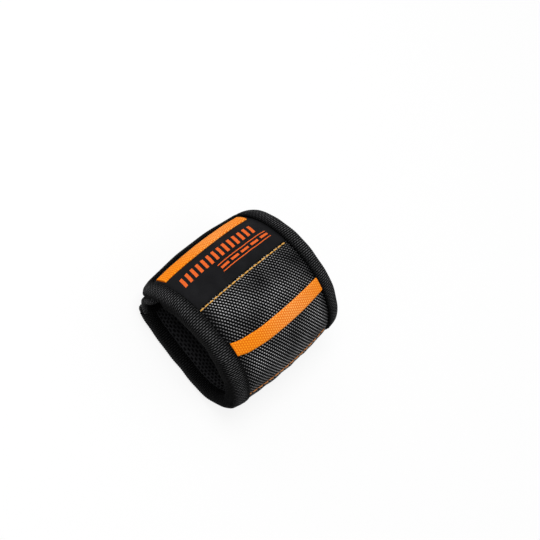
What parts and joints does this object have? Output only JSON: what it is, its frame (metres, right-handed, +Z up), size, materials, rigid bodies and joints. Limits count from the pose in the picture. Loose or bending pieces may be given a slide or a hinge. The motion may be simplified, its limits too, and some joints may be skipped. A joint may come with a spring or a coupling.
{
  "type": "magnetic wristband",
  "caption": "Padded fabric wristband closed into a loop by a hook-and-loop flap, with bar magnets under its panels for holding bits, screws and nuts.",
  "frame": {"origin": "on the table under the middle of the loop, centred on the overall box", "axes": "+X across the band from the near edge to the far edge, +Y towards the closure, +Z up through the label side"},
  "size_m": [0.088, 0.0898, 0.0574],
  "materials": {
    "nylon": "coarse woven",
    "smooth_fabric": "smooth satin",
    "binding": "ribbed tape",
    "orange_webbing": "ribbed webbing",
    "yellow_thread": "sewing thread",
    "orange_thread": "sewing thread",
    "foam": "foam",
    "lining": "air mesh",
    "hook_tape": "hooks",
    "loop_pile": "loop pile",
    "magnet": "nickel plated"
  },
  "bodies": {
    "back": {"back_binding_far": "binding", "back_binding_near": "binding", "back_end_binding": "binding", "back_foam": "foam", "back_lining": "lining", "back_magnet_1": "magnet", "back_magnet_2": "magnet", "back_magnet_3": "magnet", "back_pile_panel": "loop_pile", "side_woven_panel": "nylon"},
    "front": {"fold_seam_thread": "orange_thread", "front_binding_far": "binding", "front_binding_near": "binding", "front_foam": "foam", "front_lining": "lining", "front_magnet_1": "magnet", "front_magnet_2": "magnet", "front_magnet_3": "magnet", "front_magnet_4": "magnet", "front_magnet_5": "magnet", "front_magnet_6": "magnet", "front_magnet_7": "magnet", "front_magnet_8": "magnet", "front_magnet_9": "magnet", "front_woven_panel": "nylon", "label_seam_thread": "yellow_thread", "lower_orange_strip": "orange_webbing"},
    "label": {"label_binding_far": "binding", "label_binding_near": "binding", "label_foam": "foam", "label_lining": "lining", "label_magnet_1": "magnet", "label_magnet_2": "magnet", "label_magnet_3": "magnet", "label_panel": "smooth_fabric"},
    "flap": {"flap_binding": "binding", "flap_web": "smooth_fabric", "hook_patch": "hook_tape", "upper_orange_strip": "orange_webbing"},
    "tail": {"tail_binding": "binding", "tail_pile_field": "loop_pile", "tail_web": "smooth_fabric"}
  },
  "joints": [
    {"name": "label_open", "type": "hinge", "parent": "front", "child": "label", "pos_m": [0, 0.01532, 0.05496], "axis": [1, 0, 0], "range_deg": [0, 75]},
    {"name": "front_open", "type": "hinge", "parent": "back", "child": "front", "pos_m": [0, -0.04371, 0.0341], "axis": [1, 0, 0], "range_deg": [0, 60]},
    {"name": "tail_open", "type": "hinge", "parent": "back", "child": "tail", "pos_m": [0, 0.03286, 0.01058], "axis": [-1, 0, 0], "range_deg": [0, 30]},
    {"name": "flap_peel", "type": "hinge", "parent": "label", "child": "flap", "pos_m": [0, 0.03752, 0.03878], "axis": [1, 0, 0], "range_deg": [0, 100]}
  ],
  "couplings": [
    {"joint": "front_open", "follows": "label_open", "ratio": 0.8},
    {"joint": "tail_open", "follows": "label_open", "ratio": 0.4}
  ]
}
